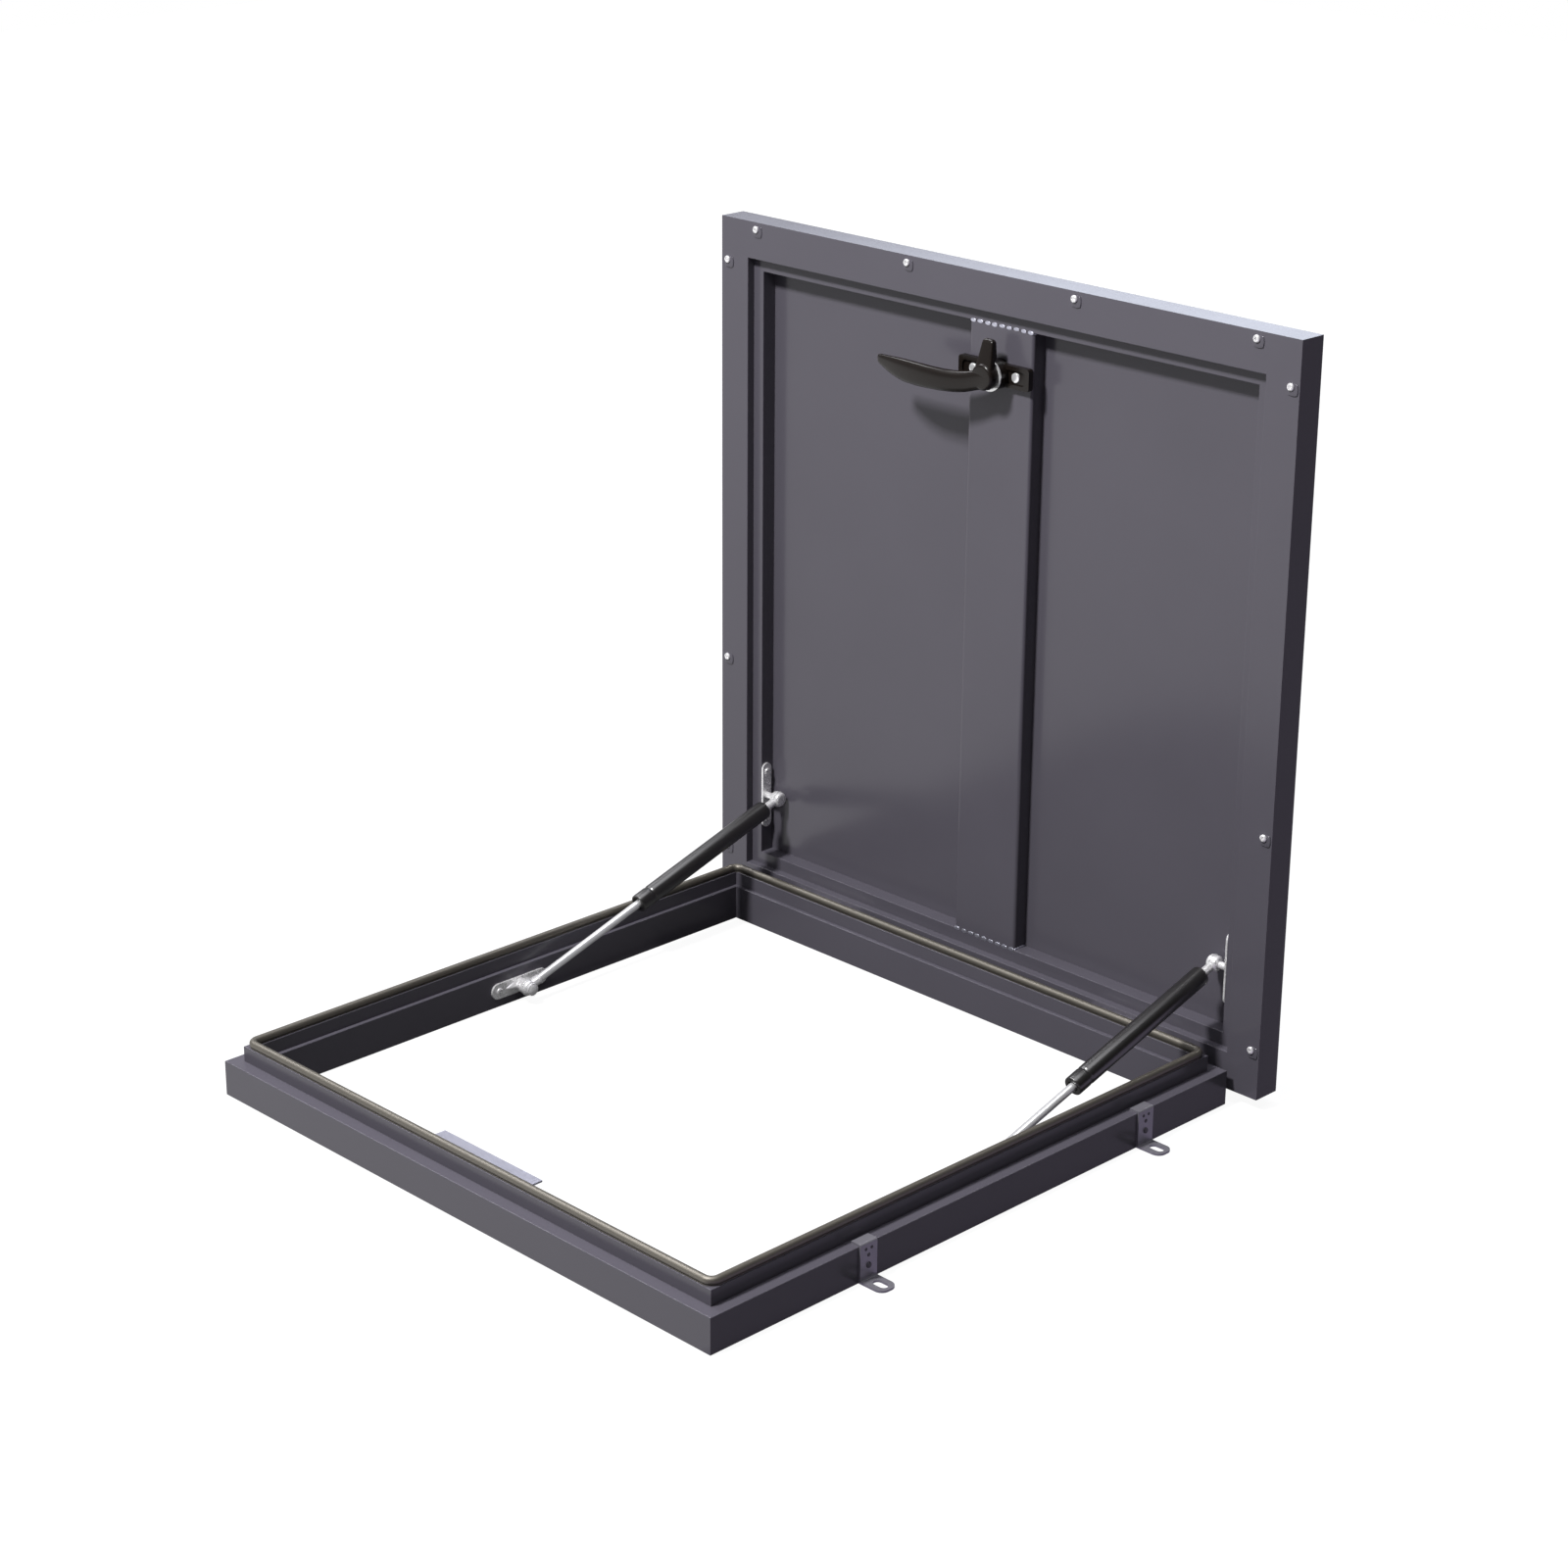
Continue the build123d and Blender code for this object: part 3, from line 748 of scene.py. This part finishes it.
# Rivets and dimples on the anchor brackets' outer faces
anchors = {
    "face": 327.0,
    "ys": (-147.0, 208.0),
    "dimples": ((-3.4, 30.0), (3.4, 30.0)),
    "bump": (0.0, 24.0),
    "rivet": (0.0, 14.5),
}


def makeAnchorDetail():
    look = anchors
    cup = spun([(1.5, 0), (1.4, 0.3), (1.0, 0.35), (0.8, 0.02), (0, 0.02)], 24)
    bump = bead(1.9, 1.9, 0.7)
    rivet = spun([(2.8, 0), (2.7, 0.6)] + arc((1.6, 0.6), 1.0, 20, 90, 5) + [(0, 1.7)], 32)
    grids = []
    for side in (-1, 1):
        for y in look["ys"]:
            for shape, spots in ((cup, look["dimples"]), (bump, [look["bump"]]), (rivet, [look["rivet"]])):
                for shift, z in spots:
                    at = (side * look["face"], y + shift, z)
                    grids.append(placed(shape, at, (0, 1, 0), (0, 0, 1), (side, 0, 0)))
    addPiece("anchor_rivets", grids, "powder_coat", "frame")


makeLidScrews()
makeBarWelds()
makeHandle()
makeStruts()
makeSeal()
makeAnchorDetail()


# Studio

studio = {
    "keyTravel": (0.07, 0.59, -0.80),
    "keyDistance": 3.0,
    "keyWidth": 0.36,
    "keyLevel": 1.33,
    "rimCentre": (-0.55, 1.00, 1.12),
    "rimSize": (0.9, 0.45),
    "rimRadiance": 2.7,
    "rimColour": (0.87, 0.94, 1.08),
    "lidTop": (0.0, 0.347, 0.72),
    "target": (0.0, 0.2, 0.35),
    "floorSide": 12.0,
    "floorDrop": 0.0006,
    # Painted reflection: within this half-width glossy rays see the floor dark, as if a roof opening lay
    # under the curb
    "darkReflectionHalf": 0.302,
    # Painted reflection: glossy rays see the floor right of the hatch in this dim violet
    "dimReflectionColour": (0.42, 0.37, 0.50, 1),
    "overhead": (0.925, 2.6),
    "overheadEdge": 0.03,
    "leftPanel": (0.982, 11.0),
    "leftPanelWay": (-0.665, 0.745),
    "leftPanelEdge": 0.006,
    "ambient": 0.22,
}


def aimed(place, towards):
    # A matrix whose -Z looks from place to towards
    way = Vector(towards) - Vector(place)
    return Matrix.Translation(place) @ way.to_track_quat("-Z", "Y").to_matrix().to_4x4()


def areaLamp(name, place, towards, width, height, level):
    # Level is the brightness of a white card that faces the lamp at the target's distance
    distance = (Vector(towards) - Vector(place)).length
    data = bpy.data.lights.new(name, "AREA")
    data.shape = "RECTANGLE"
    data.size = width
    data.size_y = height
    data.energy = level * math.pi ** 2 * distance ** 2
    lamp = bpy.data.objects.new(name, data)
    lamp.matrix_world = aimed(place, towards)
    bpy.context.scene.collection.objects.link(lamp)
    return lamp


def makeLamps():
    target = Vector(studio["target"])
    travel = Vector(studio["keyTravel"]).normalized()
    keyPlace = target - travel * studio["keyDistance"]
    areaLamp("keyLamp", keyPlace, target, studio["keyWidth"], studio["keyWidth"], studio["keyLevel"])
    width, height = studio["rimSize"]
    lidTop = Vector(studio["lidTop"])
    rimPlace = Vector(studio["rimCentre"])
    distance = (lidTop - rimPlace).length
    level = studio["rimRadiance"] * width * height / (math.pi * distance ** 2)
    areaLamp("rimLamp", rimPlace, lidTop, width, height, level).data.color = studio["rimColour"]


def makeWorld():
    # White where the camera looks past the object; elsewhere a soft tent, darker on the right, with
    # a bright round panel overhead and a small brighter one up on the left
    world = bpy.data.worlds.new("tent")
    world.use_nodes = True
    bpy.context.scene.world = world
    recipe = Recipe(world.node_tree)
    way = recipe.node("ShaderNodeTexCoord", output="Generated")
    split = recipe.node("ShaderNodeSeparateXYZ", inputs={0: way})
    across = Wire(recipe, split.socket.node.outputs["X"])
    along = Wire(recipe, split.socket.node.outputs["Y"])
    height = Wire(recipe, split.socket.node.outputs["Z"])
    edge, brightness = studio["overhead"]
    panel = ((height - edge) / studio["overheadEdge"]).larger(0.0).smaller(1.0)
    leftEdge, leftBrightness = studio["leftPanel"]
    wayAcross, wayUp = studio["leftPanelWay"]
    towards = height * wayUp + across * wayAcross - leftEdge
    leftPanel = (towards / studio["leftPanelEdge"]).larger(0.0).smaller(1.0)
    soft = (studio["ambient"] - 0.2 * across - 0.06 * along).larger(0.03)
    level = soft + panel * brightness + leftPanel * leftBrightness
    tone = recipe.node("ShaderNodeCombineXYZ", inputs={0: level, 1: level, 2: level * 1.04})
    seen = recipe.node("ShaderNodeLightPath", output="Is Camera Ray")
    tent = recipe.node("ShaderNodeBackground", inputs={"Color": tone, "Strength": 1.0})
    white = recipe.node("ShaderNodeBackground", inputs={"Color": (1, 1, 1, 1), "Strength": 1.0})
    mixed = recipe.node("ShaderNodeMixShader", inputs={0: seen, 1: tent, 2: white})
    recipe.node("ShaderNodeOutputWorld", inputs={"Surface": mixed})


def makeFloor():
    # Pale floor: the camera and reflections see it white with a faint shadow. Painted reflections: to
    # glossy rays the floor inside the curb is dark, a painted dark reflection in place of a roof opening
    # under the curb, and the floor right of the hatch is dim and violet
    half = studio["floorSide"] / 2
    drop = -studio["floorDrop"]
    corners = [(-half, -half, drop), (half, -half, drop), (half, half, drop), (-half, half, drop)]
    mesh = bpy.data.meshes.new("floor")
    mesh.from_pydata(corners, [], [(0, 1, 2, 3)])
    floor = bpy.data.objects.new("floor", mesh)
    bpy.context.scene.collection.objects.link(floor)
    material, recipe = newMaterial("paleFloor")
    place = recipe.place()
    split = recipe.node("ShaderNodeSeparateXYZ", inputs={0: place}).socket.node
    across = Wire(recipe, split.outputs["X"]).size()
    along = Wire(recipe, split.outputs["Y"]).size()
    # Painted dark reflection: glossy rays inside this square see only the dim diffuse floor, not the white
    # glow
    darkReflectionSquare = across.larger(along) < studio["darkReflectionHalf"]
    rays = recipe.node("ShaderNodeLightPath").socket.node
    camera = Wire(recipe, rays.outputs["Is Camera Ray"])
    glossy = Wire(recipe, rays.outputs["Is Glossy Ray"])
    through = Wire(recipe, rays.outputs["Is Transmission Ray"])
    shine = glossy * (1 - darkReflectionSquare)
    seen = camera.larger(through).larger(shine)
    lit = recipe.node("ShaderNodeBsdfDiffuse", inputs={"Color": (0.12, 0.12, 0.12, 1)})
    farness = ((across.larger(along) - 0.7) / 1.6).larger(0.0).smaller(1.0)
    strength = 0.93 + 0.07 * farness
    glow = recipe.node("ShaderNodeEmission", inputs={"Color": (1, 1, 1, 1), "Strength": strength})
    both = recipe.node("ShaderNodeAddShader", inputs={0: lit, 1: glow})
    # Painted dim reflection: glossy rays see the floor right of the hatch as this dim violet glow, which
    # darkens what the object's right-facing faces reflect
    dimReflection = recipe.node("ShaderNodeEmission", inputs={"Color": studio["dimReflectionColour"], "Strength": 1.0})
    dimReflectionShare = ((Wire(recipe, split.outputs["X"]) - 0.31) / 0.015).larger(0.0).smaller(1.0) * shine
    pale = recipe.node("ShaderNodeMixShader", inputs={0: dimReflectionShare, 1: both, 2: dimReflection})
    mixed = recipe.node("ShaderNodeMixShader", inputs={0: seen, 1: lit, 2: pale})
    recipe.node("ShaderNodeOutputMaterial", inputs={"Surface": mixed})
    mesh.materials.append(material)


# Camera as in the photograph: where it stands, where it looks and the lens on a 36 mm sensor
cameraFacts = {
    "place": (2.04869, -1.94411, 1.39203),
    "azimuth": 45.4436,
    "elevation": 20.949,
    "roll": 0.3642,
    "lens": 78.18,
}


def makeCamera():
    azimuth = math.radians(cameraFacts["azimuth"])
    elevation = math.radians(cameraFacts["elevation"])
    roll = math.radians(cameraFacts["roll"])
    back = Vector((
        math.sin(azimuth) * math.cos(elevation),
        -math.cos(azimuth) * math.cos(elevation),
        math.sin(elevation),
    ))
    right = Vector((0, 0, 1)).cross(back).normalized()
    up = back.cross(right)
    turnedRight = right * math.cos(roll) + up * math.sin(roll)
    turnedUp = up * math.cos(roll) - right * math.sin(roll)
    data = bpy.data.cameras.new("camera")
    data.sensor_width = 36.0
    data.lens = cameraFacts["lens"]
    data.clip_end = 50.0
    camera = bpy.data.objects.new("camera", data)
    axes = Matrix((turnedRight, turnedUp, back)).transposed().to_4x4()
    camera.matrix_world = Matrix.Translation(cameraFacts["place"]) @ axes
    bpy.context.scene.collection.objects.link(camera)
    bpy.context.scene.camera = camera


makeLamps()
makeWorld()
makeFloor()
makeCamera()
bpy.context.scene.view_settings.view_transform = "Standard"
print("studio: lamps, tent, floor and camera")
